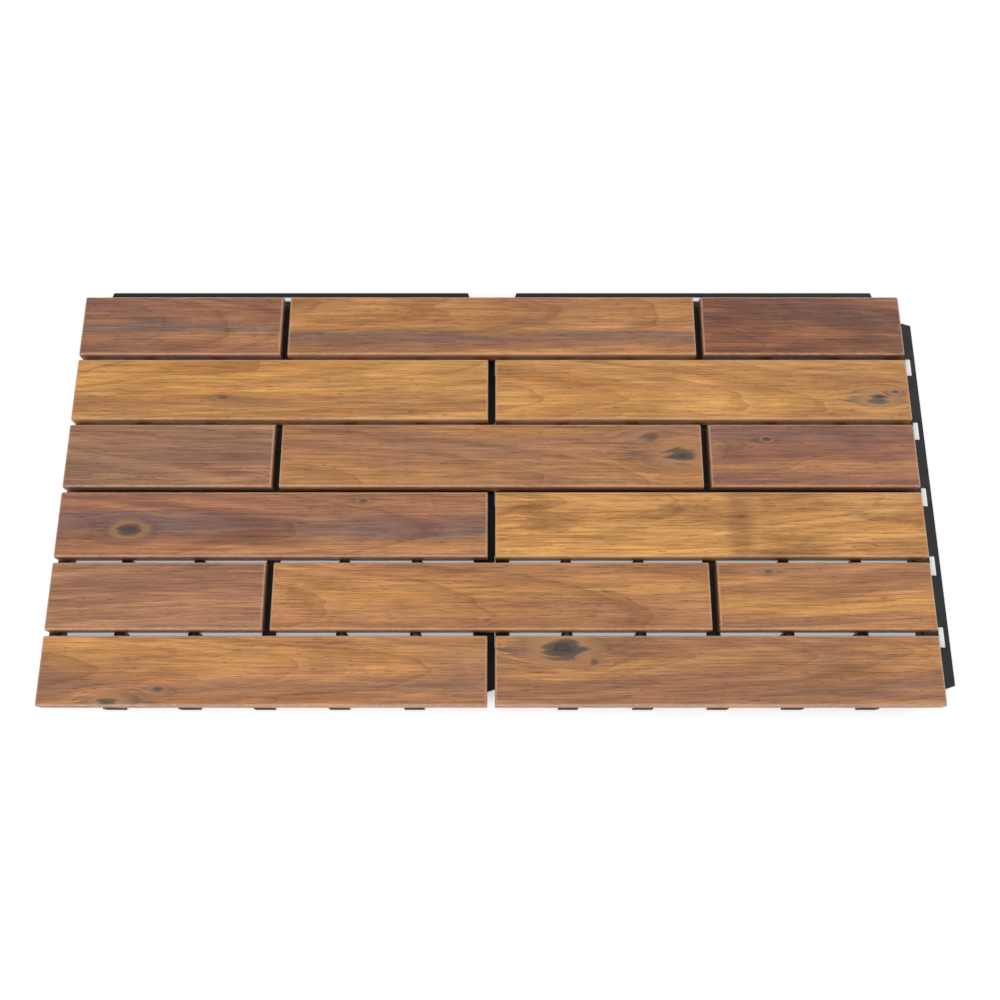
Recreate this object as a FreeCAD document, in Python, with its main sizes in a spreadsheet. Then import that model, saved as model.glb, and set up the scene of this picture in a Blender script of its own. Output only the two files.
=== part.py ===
# Interlocking deck tile: six rows of staggered hardwood slats, screwed from below to two base
# mouldings that are clipped together. All sizes are in millimetres. The tile lies flat on Z = 0
# with its slats along X, and its origin is the middle of its footprint, clips counted in.
import FreeCAD, Part
import math
import os

import Sketcher

SIZES = {
    "slat_width": 46.0,       # across the grain
    "slat_thick": 12.0,
    "edge_round": 1.8,        # rounding of a slat's upper edges
    "row_gap": 3.6,           # drainage gap between two rows of slats
    "end_gap": 5.0,           # gap where two slats of a row meet end to end
    "side_gap": 6.0,          # gap across the rows between the slats of two clipped tiles
    "tile_gap": 9.0,          # gap end to end between the slats of two clipped tiles
    "base_high": 12.0,        # from the floor to the underside of the slats
    "floor_clear": 3.0,       # height of the wall and the ribs over the floor
    "wall_inset": 10.0,       # from the edge of a moulding's cell to its outer wall
    "wall_thick": 2.2,
    "wall_cut": 12.0,         # leg of the wall's cut corners
    "rib_thick": 2.2,
    "flange_wide": 12.0,      # top flange of a rib that lies under a row and seats its screws
    "spine_wide": 6.0,        # top flange of the middle rib, under the middle gap
    "flange_thick": 3.0,
    "leg_radius": 4.0,        # to the corners of an eight-sided leg
    "leg_bore": 2.1,          # the same for the drain hole down it
    "shank_radius": 1.8,
    "shank_clear": 0.3,       # round a shank
    "bite": 8.0,              # depth of a screw in its slat
    "pilot_deep": 9.0,        # depth of the hole that it goes into
    "head_radius": 3.6,       # to the corners of a hexagon head
    "head_high": 2.2,
    "head_clear": 0.6,        # round a screw's head, in the ribs
    "clip_line": 4.5,         # from the edge of a cell to the middle of the clips on either side
    "rail_reach": 9.0,        # clip rail past the edge of its cell
    "rail_low": 3.5,          # underside of the clip rail
    "rail_thick": 3.0,
    "rail_end": 12.0,         # from the end of the cell to the end of the rail
    "rail_slope": 6.0,        # slope of the rail's ends
    "hook_wide": 13.0,
    "hook_thick": 3.6,
    "hook_low": 1.0,          # tip of a hook over the floor
    "hook_play": 0.5,         # round a hook in its slot
    "arm_thick": 3.0,
    "arm_play": 0.4,          # between an arm and the rail that it lies over
    "barb": 0.9,
    "barb_play": 0.4,         # between a barb and the rail that it is caught under
}
ROWS = 6                              # rows of slats, which is also the clip grid's division
GRID_LINES = (-2, -1, 0, 1, 2)        # gaps between rows, in row pitches from a cell's middle
ROW_LINES = (-2.5, -1.5, -0.5, 0.5, 1.5, 2.5)

doc = FreeCAD.newDocument("deck_tile")
sheet = doc.addObject("Spreadsheet::Sheet", "sizes")
for line, (alias, number) in enumerate(SIZES.items(), start=1):
    sheet.set(f"A{line}", alias)
    sheet.set(f"B{line}", str(number))
    sheet.setAlias(f"B{line}", alias)
doc.recompute()

# Lengths that follow from the driving sizes. Features are bound to them as expressions.
PITCH = "(sizes.slat_width + sizes.row_gap)"
CELL = f"({ROWS} * {PITCH} + sizes.side_gap - sizes.row_gap)"
HALF = f"({CELL} / 2)"
LONG = f"((2 * {CELL} - sizes.tile_gap - sizes.end_gap) / 2)"
SHORT = f"((2 * {CELL} - sizes.tile_gap - {LONG}) / 2 - sizes.end_gap)"
WALL = f"({HALF} - sizes.wall_inset)"
RIB_END = f"({WALL} - sizes.wall_thick / 2)"
RIB_HIGH = "(sizes.base_high - sizes.floor_clear)"
SEAT_LOW = "(sizes.base_high - sizes.flange_thick)"
HOLE = "(sizes.shank_radius + sizes.shank_clear)"
RAIL_OUT = f"({HALF} + sizes.rail_reach)"
RAIL_TOP = "(sizes.rail_low + sizes.rail_thick)"
SLOT_LINE = f"({HALF} + sizes.clip_line)"
HOOK_OUT = f"({HALF} - sizes.clip_line + sizes.hook_thick / 2)"
HOOK_IN = f"({HOOK_OUT} - sizes.hook_thick)"
ARM_LOW = f"({RAIL_TOP} + sizes.arm_play)"
# From the middle between the two cells to the middle of the footprint, along X and along Y.
SHIFT = "((sizes.rail_reach + sizes.clip_line - sizes.hook_thick / 2) / 2)"


def sketch_on(body, name, role, lift):
    """A sketch on one of its body's origin planes, lifted off it by an expression."""
    sketch = body.newObject("Sketcher::SketchObject", name)
    plane = next(item for item in body.Origin.OriginFeatures if item.Role == role)
    sketch.AttachmentSupport = [(plane, "")]
    sketch.MapMode = "FlatFace"
    sketch.setExpression("AttachmentOffset.Base.z", lift)
    return sketch


def hold(sketch, points, others=()):
    """Adds constraints to a sketch and holds points of it at expressions from its origin.

    points has an item, its end, and the two expressions for each point.
    """
    constraints = list(others)
    expressions = [None] * len(constraints)
    for item, end, across, along in points:
        for kind, expression in (("DistanceX", across), ("DistanceY", along)):
            constraints.append(Sketcher.Constraint(kind, -1, 1, item, end, 1.0))
            expressions.append(expression)
    numbers = sketch.addConstraint(constraints)
    for number, expression in zip(numbers, expressions):
        if expression:
            sketch.setExpression(f"Constraints[{number}]", expression)


def outline(sketch, corners):
    """A closed outline of straight lines, each corner a pair of expressions."""
    count = len(corners)
    first = sketch.GeometryCount
    start = [FreeCAD.Vector(i, i * i, 0) for i in range(count)]
    sketch.addGeometry([Part.LineSegment(start[i - 1], start[i]) for i in range(count)], False)
    joins = [
        Sketcher.Constraint("Coincident", first + i, 2, first + (i + 1) % count, 1)
        for i in range(count)
    ]
    hold(sketch, [(first + i, 1, *corner) for i, corner in enumerate(corners)], joins)


def rectangle(sketch, left, right, low, high):
    outline(sketch, [(left, low), (right, low), (right, high), (left, high)])


def centred(sketch, across, along, wide, deep):
    """A rectangle about a middle point."""
    rectangle(
        sketch,
        f"{across} - {wide} / 2",
        f"{across} + {wide} / 2",
        f"{along} - {deep} / 2",
        f"{along} + {deep} / 2",
    )


def octagons(sketch, middles, radius):
    """Equal eight-sided outlines with flats to the sides, each middle a pair of expressions."""
    turns = [math.radians(22.5 + 45 * i) for i in range(8)]
    for across, along in middles:
        outline(sketch, [
            (
                f"{across} + ({math.cos(turn):.6f}) * {radius}",
                f"{along} + ({math.sin(turn):.6f}) * {radius}",
            )
            for turn in turns
        ])


def pad(body, sketch, name, length, midplane=False):
    feature = body.newObject("PartDesign::Pad", name)
    feature.Profile = sketch
    feature.Midplane = midplane
    feature.Refine = False
    feature.setExpression("Length", length)
    return feature


def repeat(body, feature, name, axis, count, step):
    """Repeats a feature along one of its body's axes."""
    doc.recompute()
    row = body.newObject("PartDesign::LinearPattern", name)
    row.Originals = [feature]
    direction = next(item for item in body.Origin.OriginFeatures if item.Role == axis)
    row.Direction = (direction, [""])
    row.setExpression("Length", f"{count - 1} * {step}")
    row.Occurrences = count
    row.Refine = False
    body.Tip = row


def pocket(body, sketch, name, length):
    """A cut upwards from its sketch."""
    feature = body.newObject("PartDesign::Pocket", name)
    feature.Profile = sketch
    feature.Reversed = True
    feature.Refine = False
    feature.setExpression("Length", length)
    return feature


SPLIT_ROWS = ROW_LINES[1::2]      # rows that have a long slat over the joint of the mouldings


def add_wall(body):
    """The outer wall: a square ring with cut corners."""
    sketch = sketch_on(body, "wall_ring", "XY_Plane", "sizes.floor_clear")
    for inward in ("0", "sizes.wall_thick"):
        side = f"({WALL} - {inward})"
        short = f"({side} - sizes.wall_cut)"
        outline(sketch, [
            (f"-{short}", f"-{side}"),
            (short, f"-{side}"),
            (side, f"-{short}"),
            (side, short),
            (short, side),
            (f"-{short}", side),
            (f"-{side}", short),
            (f"-{side}", f"-{short}"),
        ])
    pad(body, sketch, "wall", RIB_HIGH)


def add_ribs(body):
    """Plain ribs across the slats on every grid line, and T-shaped ribs along the slats.

    The T-shaped ones lie under the middle of each row, and one lies under the middle gap.
    """
    long = f"(2 * {RIB_END})"
    across = sketch_on(body, "cross_rib_strip", "XY_Plane", "sizes.floor_clear")
    centred(across, f"{GRID_LINES[0]} * {PITCH}", "0", "sizes.rib_thick", long)
    rib = pad(body, across, "cross_rib", RIB_HIGH)
    repeat(body, rib, "cross_ribs", "X_Axis", len(GRID_LINES), PITCH)
    web = sketch_on(body, "row_web_strip", "XY_Plane", "sizes.floor_clear")
    flange = sketch_on(body, "row_flange_strip", "XY_Plane", SEAT_LOW)
    first = f"{ROW_LINES[0]} * {PITCH}"
    centred(web, "0", first, long, "sizes.rib_thick")
    centred(flange, "0", first, long, "sizes.flange_wide")
    for sketch, name, high in (
        (web, "row_web", f"({SEAT_LOW} - sizes.floor_clear)"),
        (flange, "row_flange", "sizes.flange_thick"),
    ):
        repeat(body, pad(body, sketch, name, high), f"{name}s", "Y_Axis", ROWS, PITCH)
    spine_web = sketch_on(body, "spine_web_strip", "XY_Plane", "sizes.floor_clear")
    spine_flange = sketch_on(body, "spine_flange_strip", "XY_Plane", SEAT_LOW)
    centred(spine_web, "0", "0", long, "sizes.rib_thick")
    centred(spine_flange, "0", "0", long, "sizes.spine_wide")
    pad(body, spine_web, "spine_web", f"({SEAT_LOW} - sizes.floor_clear)")
    pad(body, spine_flange, "spine_flange", "sizes.flange_thick")


def add_legs(body):
    """Hollow legs where the cross ribs pass under the gaps between the rows."""
    legs = sketch_on(body, "leg_outlines", "XY_Plane", "0")
    bores = sketch_on(body, "leg_bore_outlines", "XY_Plane", "0")
    column = [(f"{GRID_LINES[0]} * {PITCH}", f"{j} * {PITCH}") for j in GRID_LINES if j]
    octagons(legs, column, "sizes.leg_radius")
    octagons(bores, column, "sizes.leg_bore")
    leg = pad(body, legs, "leg_column", "sizes.base_high")
    repeat(body, leg, "legs", "X_Axis", len(GRID_LINES), PITCH)
    bore = pocket(body, bores, "leg_bore_column", "sizes.base_high")
    repeat(body, bore, "leg_bores", "X_Axis", len(GRID_LINES), PITCH)


def add_seats(body):
    """Room for each screw's head, cut from the ribs' webs, and a hole for its shank.

    Every row has seats on its outermost grid lines, and a split row has two more between them.
    """
    side = "(2 * sizes.head_radius + 2 * sizes.head_clear)"
    for name, step, lines in (("outer", 2, ROW_LINES), ("inner", 1, SPLIT_ROWS)):
        rooms = sketch_on(body, f"{name}_head_rooms", "XY_Plane", "0")
        holes = sketch_on(body, f"{name}_seat_holes", "XY_Plane", SEAT_LOW)
        column = [(f"-{step} * {PITCH}", f"{line} * {PITCH}") for line in lines]
        for across, along in column:
            centred(rooms, across, along, side, side)
        octagons(holes, column, HOLE)
        for sketch, what, deep in ((rooms, "rooms", SEAT_LOW), (holes, "holes", "sizes.flange_thick")):
            cut = pocket(body, sketch, f"{name}_{what}_column", deep)
            repeat(body, cut, f"{name}_{what}", "X_Axis", 2, f"{2 * step} * {PITCH}")


def add_rail(body, name, swap):
    """A clip rail outside the wall, with a slot on every grid line for the next tile's hooks."""
    end = f"({HALF} - sizes.rail_end)"
    corners = [
        (RIB_END, f"-{end}"),
        (WALL, f"-{end}"),
        (RAIL_OUT, f"-{end} + sizes.rail_slope"),
        (RAIL_OUT, f"{end} - sizes.rail_slope"),
        (WALL, end),
        (RIB_END, end),
    ]
    rail = sketch_on(body, f"{name}_outline", "XY_Plane", "sizes.rail_low")
    outline(rail, [(b, a) for a, b in corners] if swap else corners)
    pad(body, rail, name, "sizes.rail_thick")
    slots = sketch_on(body, f"{name}_slot_outlines", "XY_Plane", "sizes.rail_low")
    thick = "(sizes.hook_thick + 2 * sizes.hook_play)"
    wide = "(sizes.hook_wide + 2 * sizes.hook_play)"
    for line in GRID_LINES:
        middle = f"{line} * {PITCH}"
        if swap:
            centred(slots, middle, SLOT_LINE, wide, thick)
        else:
            centred(slots, SLOT_LINE, middle, thick, wide)
    pocket(body, slots, f"{name}_slots", "sizes.rail_thick")


def add_hooks(body, name, role, axis, start):
    """Hooks on every grid line: an arm over the next rail, and a barbed peg down its slot.

    start is the first grid line, as it counts along the normal of the sketch's plane.
    """
    arm_top = f"({ARM_LOW} + sizes.arm_thick)"
    caught = "(sizes.rail_low - sizes.barb_play)"
    side = sketch_on(body, f"{name}_side", role, f"{start} * {PITCH}")
    outline(side, [
        (f"-{RIB_END}", arm_top),
        (f"-{HOOK_OUT}", arm_top),
        (f"-{HOOK_OUT}", "sizes.hook_low"),
        (f"-{HOOK_IN}", "sizes.hook_low"),
        (f"-{HOOK_IN} + sizes.barb", f"{caught} - sizes.barb"),
        (f"-{HOOK_IN} + sizes.barb", caught),
        (f"-{HOOK_IN}", caught),
        (f"-{HOOK_IN}", ARM_LOW),
        (f"-{RIB_END}", ARM_LOW),
    ])
    first = pad(body, side, f"{name}_first", "sizes.hook_wide", midplane=True)
    repeat(body, first, name, axis, len(GRID_LINES), PITCH)


def make_base(label):
    """The left base moulding, made about the middle of its cell."""
    body = doc.addObject("PartDesign::Body", label)
    add_wall(body)
    add_rail(body, "rail_right", swap=False)
    add_rail(body, "rail_far", swap=True)
    add_hooks(body, "hooks_left", "XZ_Plane", "Y_Axis", -GRID_LINES[0])
    add_hooks(body, "hooks_near", "YZ_Plane", "X_Axis", GRID_LINES[0])
    add_ribs(body)
    add_legs(body)
    add_seats(body)
    body.Tip.Refine = True
    place(body, f"-{HALF}", "0", "0")
    return body


def make_twin(label, first):
    """The same piece again, one cell further to the right."""
    twin = doc.addObject("Part::Compound", label)
    twin.Links = [first]
    twin.setExpression("Placement.Base.x", CELL)
    return twin


def place(body, across, along, up):
    """Moves a sub-part to its place, given from the middle between the two cells."""
    body.setExpression("Placement.Base.x", f"{across} - {SHIFT}")
    body.setExpression("Placement.Base.y", f"{along} - {SHIFT}")
    body.setExpression("Placement.Base.z", up)


def make_slat(label, length, middle, row, screws):
    """One slat: a board with rounded upper edges and blind pilot holes underneath.

    middle and screws are places along the row, from the middle between the two cells.
    """
    body = doc.addObject("PartDesign::Body", label)
    board = sketch_on(body, f"{label}_outline", "XY_Plane", "0")
    centred(board, "0", "0", length, "sizes.slat_width")
    blank = pad(body, board, f"{label}_board", "sizes.slat_thick")
    doc.recompute()
    top = blank.Shape.BoundBox.ZMax
    edges = enumerate(blank.Shape.Edges, start=1)
    upper = [f"Edge{i}" for i, edge in edges if edge.BoundBox.Center.z > 0.9 * top]
    rounding = body.newObject("PartDesign::Fillet", f"{label}_rounding")
    rounding.Base = (blank, upper)
    rounding.setExpression("Radius", "sizes.edge_round")
    pilots = sketch_on(body, f"{label}_pilots", "XY_Plane", "0")
    octagons(pilots, [(f"{across} - {middle}", "0") for across in screws], HOLE)
    pocket(body, pilots, f"{label}_holes", "sizes.pilot_deep")
    place(body, middle, f"{ROW_LINES[row]} * {PITCH}", "sizes.base_high")
    return body


def screw_steps(row):
    """Grid lines of a moulding that have a screw in a row."""
    return (-2, 2) if row % 2 == 0 else (-2, -1, 1, 2)


def make_row(row):
    """Two long slats, or in every other row a long slat between two short ones.

    Every slat has two screws, apart from the one over the joint, which has two in each moulding.
    """
    left = [f"({step} * {PITCH} - {HALF})" for step in screw_steps(row)]
    right = [f"({step} * {PITCH} + {HALF})" for step in screw_steps(row)]
    name = f"slat_{row + 1}"
    if row % 2 == 0:
        side = f"(({LONG} + sizes.end_gap) / 2)"
        return [
            make_slat(f"{name}_left", LONG, f"(-{side})", row, left),
            make_slat(f"{name}_right", LONG, side, row, right),
        ]
    side = f"(({LONG} + {SHORT}) / 2 + sizes.end_gap)"
    return [
        make_slat(f"{name}_left", SHORT, f"(-{side})", row, left[:2]),
        make_slat(f"{name}_middle", LONG, "0", row, left[2:] + right[:2]),
        make_slat(f"{name}_right", SHORT, side, row, right[2:]),
    ]


def make_screw():
    """One hexagon head screw, head down, with the top of its head at its own origin."""
    head = doc.addObject("Part::Prism", "screw_head")
    head.Polygon = 6
    head.setExpression("Circumradius", "sizes.head_radius")
    head.setExpression("Height", "sizes.head_high")
    head.setExpression("Placement.Base.z", "-sizes.head_high")
    shank = doc.addObject("Part::Prism", "screw_shank")
    shank.Polygon = 8
    shank.setExpression("Circumradius", "sizes.shank_radius")
    shank.setExpression("Height", "sizes.flange_thick + sizes.bite")
    screw = doc.addObject("Part::Fuse", "screw")
    screw.Base = head
    screw.Tool = shank
    return screw


def make_screws(label, screw, side):
    """The screws of one moulding: the same screw again and again, as separate solids."""
    group = []
    for row, line in enumerate(ROW_LINES):
        for step in screw_steps(row):
            one = doc.addObject("App::Link", f"{label}_{len(group) + 1}")
            one.LinkedObject = screw
            place(one, f"{side} * {HALF} + {step} * {PITCH}", f"{line} * {PITCH}", SEAT_LOW)
            group.append(one)
    screws = doc.addObject("Part::Compound", label)
    screws.Links = group
    return screws


base_left = make_base("base_left")
kept = [base_left, make_twin("base_right", base_left)]
for number in range(ROWS):
    kept += make_row(number)
screw = make_screw()
kept += [make_screws("screws_left", screw, -1), make_screws("screws_right", screw, 1)]
doc.recompute()

for thing in doc.Objects:
    faults = [word for word in thing.State if word in ("Invalid", "Error")]
    if faults:
        raise RuntimeError(f"{thing.Label} failed to build: {faults}")
for thing in kept:
    if thing.Shape.isNull() or not thing.Shape.isValid():
        raise RuntimeError(f"{thing.Label} has no valid shape")

os.makedirs("parts", exist_ok=True)
for thing in kept:
    thing.Shape.exportStep(f"parts/{thing.Label}.step")
    box = thing.Shape.BoundBox
    corner = f"{box.XMin:8.2f} {box.YMin:8.2f} {box.ZMin:6.2f}"
    size = f"{box.XLength:7.2f} {box.YLength:7.2f} {box.ZLength:6.2f}"
    print(f"{thing.Label:14} {corner}  {size}  {len(thing.Shape.Solids)} solids")
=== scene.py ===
# %% [markdown]
# # A deck tile: oiled hardwood slats on black clipped mouldings
#
# The tile is fifteen slats on two black plastic mouldings. Seen from above it is almost all
# wood, so most of this lesson is about wood: how a board's eased edges are shaped, and how one
# recipe of growth rings, pores, stains and knots gives fifteen boards that all look different.
#
# The construction was made in CAD and is loaded first. Every piece made here takes its place
# and size from a piece of that model, so the finished tile keeps its measures. Blender works
# in metres, and MM turns a number of millimetres into metres.

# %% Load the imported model
import math

import bpy
import numpy as np
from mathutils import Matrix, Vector


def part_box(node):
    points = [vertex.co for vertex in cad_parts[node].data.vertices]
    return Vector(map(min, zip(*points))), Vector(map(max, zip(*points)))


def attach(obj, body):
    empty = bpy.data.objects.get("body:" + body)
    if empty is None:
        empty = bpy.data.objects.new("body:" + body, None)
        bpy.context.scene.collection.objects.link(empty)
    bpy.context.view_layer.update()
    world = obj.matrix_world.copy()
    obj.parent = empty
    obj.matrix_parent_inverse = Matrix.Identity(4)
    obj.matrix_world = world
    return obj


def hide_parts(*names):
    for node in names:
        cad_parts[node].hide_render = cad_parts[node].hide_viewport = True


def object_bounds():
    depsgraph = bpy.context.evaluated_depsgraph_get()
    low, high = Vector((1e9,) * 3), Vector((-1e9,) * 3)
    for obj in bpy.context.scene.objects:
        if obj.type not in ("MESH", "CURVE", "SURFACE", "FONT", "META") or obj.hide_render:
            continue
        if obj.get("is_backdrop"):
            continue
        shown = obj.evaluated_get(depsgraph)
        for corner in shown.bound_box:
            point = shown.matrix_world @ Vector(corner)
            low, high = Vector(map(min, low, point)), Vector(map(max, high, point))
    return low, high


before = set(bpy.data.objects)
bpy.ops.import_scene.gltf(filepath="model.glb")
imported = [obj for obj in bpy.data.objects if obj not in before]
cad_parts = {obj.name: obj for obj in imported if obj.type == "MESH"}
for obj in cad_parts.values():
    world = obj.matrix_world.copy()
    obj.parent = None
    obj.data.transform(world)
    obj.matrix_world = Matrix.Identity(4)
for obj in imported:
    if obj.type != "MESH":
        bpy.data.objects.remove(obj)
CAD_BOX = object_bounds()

MM = 0.001


def nodes_named(start):
    """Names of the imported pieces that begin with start, in order."""
    return sorted(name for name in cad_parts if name.startswith(start))


SLATS = nodes_named("slat_")
BASES = nodes_named("base_")
SCREWS = nodes_named("screws_")
print(len(SLATS), "slats,", len(BASES), "mouldings,", len(SCREWS), "sets of screws")

# %% [markdown]
# ## Smooth unevenness
#
# A planed board is nearly flat but never quite: it dips by a tenth of a millimetre here and
# there, and its edges wander. That could be sculpted, or come from a displacement texture. A
# few sine waves of different length and direction do it in one formula instead, for all points
# at once, and a fixed seed gives the same board every time.

# %% Unevenness as a sum of waves
WAVE_COUNT = 7
WAVE_SHORTER = 0.75
WAVE_GAIN = 1.6


def waves(along, across, longest, seed):
    """Smooth unevenness between about -1 and 1 at many points.

    It is the mean of WAVE_COUNT sine waves, times WAVE_GAIN because their mean stays small.
    Each has its own direction, start and length: the first is as long as longest, and every
    next one is WAVE_SHORTER times the one before.
    """
    random = np.random.default_rng(seed)
    total = np.zeros(np.broadcast(along, across).shape)
    for number in range(WAVE_COUNT):
        turn = random.uniform(0, math.pi)
        start = random.uniform(0, 2 * math.pi)
        angle_per_metre = 2 * math.pi / (longest * WAVE_SHORTER ** number)
        travel = along * math.cos(turn) + across * math.sin(turn)
        total += np.sin(angle_per_metre * travel + start)
    return total / WAVE_COUNT * WAVE_GAIN


def as_share(wave):
    """The same unevenness from 0 to 1: half of it, moved up by a half."""
    return np.clip(0.5 + 0.5 * wave, 0, 1)


print("unevenness at five points:", waves(np.linspace(0, 1, 5), 0.0, 1.0, seed=1).round(2))

# %% [markdown]
# ## Surfaces from rings of points
#
# Each new piece here is one closed skin made of rings: a section carried along a board, a bar
# or a screw. Boxes with a Bevel modifier would be quicker to make, but they can't dip or
# wander. With rings, all points are one array, the faces follow from the order of the points,
# and a last ring at each end is drawn together into its middle, which closes the skin.

# %% Rings, faces and mesh
SHARP_DEGREES = 35.0


def with_ends(points):
    """Rings of points with one more ring at each end, all of it at that end's mean point."""
    ends = [points[[i]].mean(axis=1, keepdims=True) + 0 * points[[i]] for i in (0, -1)]
    return np.concatenate([ends[0], points, ends[1]])


def grid_faces(rings, count):
    """Four-sided faces between rings of count points, each ring joined up to a loop.

    A point's number is its ring times count plus its place in the ring. Each face joins two
    neighbours of one ring to the same two of the next ring.
    """
    start = np.arange(rings - 1)[:, None] * count + np.arange(count)[None, :]
    after = np.arange(rings - 1)[:, None] * count + (np.arange(count)[None, :] + 1) % count
    return np.stack([start, after, after + count, start + count], axis=-1).reshape(-1, 4)


def surface(name, points, faces, sharp_degrees=SHARP_DEGREES):
    """A mesh object at the origin, smooth apart from edges sharper than sharp_degrees."""
    mesh = bpy.data.meshes.new(name)
    mesh.from_pydata(points.reshape(-1, 3).tolist(), [], faces.tolist())
    mesh.polygons.foreach_set("use_smooth", np.ones(len(mesh.polygons), dtype=bool))
    mesh.set_sharp_from_angle(angle=math.radians(sharp_degrees))
    mesh.update()
    piece = bpy.data.objects.new(name, mesh)
    bpy.context.scene.collection.objects.link(piece)
    return piece


print("faces between two rings of four points:", grid_faces(2, 4).tolist())

# %% [markdown]
# ## The section of a slat
#
# A slat is sawn, planed on four sides and run past a cutter that rounds its upper edges, and
# its ends are eased with a sander. So its form is one section carried along its length. The
# section is a loop: out along the underside, up one side, round an edge, across the top, and
# back the same way on the other side. Working out one half and mirroring it keeps both sides
# alike, as the cutter does.

# %% Points round a slat
EDGE_ROUND = 1.8 * MM
LOWER_EDGE = 0.5 * MM
TOP_MARGIN = 0.6 * MM
SIDE_MARGIN = 0.4 * MM
TOP_POINTS = 15
UNDER_POINTS = 7
QUARTER = np.linspace(0, math.pi / 2, 7)


def slat_profile(width, height):
    """Points round a slat's section, across and up, from the middle of its underside.

    The two edges are quarter circles: the sine and cosine of an even turn, times the radius,
    from a middle that lies one radius inside the corner. Straight lines join them. The margins
    are how far the first points of the straight parts lie from the upper edge's rounding.
    """
    half = width / 2
    lower = np.stack([
        half - LOWER_EDGE + LOWER_EDGE * np.sin(QUARTER),
        LOWER_EDGE - LOWER_EDGE * np.cos(QUARTER),
    ], axis=-1)
    upper = np.stack([
        half - EDGE_ROUND + EDGE_ROUND * np.cos(QUARTER),
        height - EDGE_ROUND + EDGE_ROUND * np.sin(QUARTER),
    ], axis=-1)
    flat = np.linspace(half - EDGE_ROUND - TOP_MARGIN, 0, TOP_POINTS)
    top = np.stack([flat, np.full_like(flat, height)], axis=-1)
    under = np.linspace(0, half - LOWER_EDGE, UNDER_POINTS)[:-1]
    bottom = np.stack([under, np.zeros_like(under)], axis=-1)
    side = np.array([[half, height - EDGE_ROUND - SIDE_MARGIN]])
    right = np.concatenate([bottom, lower, side, upper, top])
    left = right[-2:0:-1] * [-1, 1]
    return np.concatenate([right, left])


print("points round a slat:", len(slat_profile(width=46 * MM, height=12 * MM)))

# %% [markdown]
# ## The length of a slat
#
# Where a slat runs straight, a ring every few millimetres is enough for the unevenness. Over a
# rounded end the rings have to follow a quarter circle, so they are closest at the very end,
# where it falls most steeply. Even steps that are fine enough for the ends would need many
# times as many rings.

# %% Places along a slat
STATION_STEP = 4 * MM


def arc_drop(distance, radius):
    """How far a rounded edge lies below the face, at a distance inwards from the edge.

    It is a quarter circle. With what is left to the end of the rounding as a share of the
    radius, the drop is the radius times one less the root of one less that share's square.
    """
    inside = np.clip(1 - distance / radius, 0, 1)
    return radius * (1 - np.sqrt(1 - inside ** 2))


def slat_stations(length):
    """Places along a slat, from its middle.

    Over each end they follow one less the cosine of an even turn, times the rounding, and
    between the ends they are about STATION_STEP apart.
    """
    ease = EDGE_ROUND * (1 - np.cos(QUARTER))
    count = int(length / STATION_STEP)
    middle = np.linspace(EDGE_ROUND + TOP_MARGIN, length - EDGE_ROUND - TOP_MARGIN, count)
    return np.concatenate([ease, middle, length - ease[::-1]]) - length / 2


print("rings along a slat of 300 mm:", len(slat_stations(300 * MM)))

# %% [markdown]
# ## The skin of a slat
#
# Section and stations together make a grid. On it the upper half dips by one unevenness and
# the sides draw in by another, always inwards, so that the wood stays inside the CAD's box.
# Towards each end the section gets lower by the rounding. Moving the points is better here
# than a bump in the material, because it also bends the outline and the gaps between slats.

# %% Points of a slat
WAVE_DEPTH = 0.10 * MM
WAVE_LONG = 90 * MM
EDGE_WANDER = 0.12 * MM
WANDER_LONG = 55 * MM
WANDER_SEED = 50


def slat_points(low, high, along, across, up, seed):
    """Points of a slat between the corners of its box, a row for each station.

    Along stays as it is. Across is drawn in by a wave that has its full size at the sides and
    none in the middle half of the width. Up is scaled by the height that the rounded ends
    leave, and lowered by a wave that grows from the middle of the height to the top.
    """
    length, width, height = high - low
    lowered = arc_drop(length / 2 - np.abs(along), EDGE_ROUND)
    dip = WAVE_DEPTH * as_share(waves(along, across, WAVE_LONG, seed))
    raised = np.clip((up - height / 2) / (height / 2), 0, 1)
    wander = EDGE_WANDER * as_share(waves(along, 0 * across, WANDER_LONG, seed + WANDER_SEED))
    side = np.clip((np.abs(across) - width / 4) / (width / 4), 0, 1) * np.sign(across)
    points = np.empty((along.size, across.size, 3))
    points[..., 0] = along + (low[0] + high[0]) / 2
    points[..., 1] = across - wander * side + (low[1] + high[1]) / 2
    points[..., 2] = up * (height - lowered) / height - dip * raised + low[2]
    return points


print("a slat dips by up to", WAVE_DEPTH / MM, "mm and draws in by up to", EDGE_WANDER / MM, "mm")

# %% [markdown]
# ## A mark for the upper edges
#
# The edges of an oiled board look lighter than its face: partly because feet and weather wear
# them first, and partly as a painted highlight, where the rounded edge would catch the light.
# The material has to know where they are. It could find them with a Bevel node, which is slow
# and is lost in an export, so each point carries a number instead: an attribute that says how
# near the rounded edge it lies.

# %% Marks, and the finished slat
ARRIS_PLACE = 0.3
ARRIS_FADE = 0.6
ARRIS_BELOW = 0.1 * MM


def arris_marks(low, high, along, across, up):
    """How much of the pale line each point has, from 0 to 1, for rings with closed ends.

    The distance to the nearest edge is taken as a share of the rounding. The mark is 1 at
    ARRIS_PLACE, falls evenly to 0 over ARRIS_FADE on both sides of it, and is 0 on the sides.
    """
    length, width, height = high - low
    to_end = length / 2 - np.abs(along)
    near_edge = np.minimum(width / 2 - np.abs(across), to_end + 0 * across)
    on_top = up > height - EDGE_ROUND - ARRIS_BELOW
    marks = 1 - np.abs(near_edge / EDGE_ROUND - ARRIS_PLACE) / ARRIS_FADE
    marks = np.clip(marks, 0, 1) * on_top
    unmarked = np.zeros((1, across.size))
    return np.concatenate([unmarked, marks, unmarked])


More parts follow.
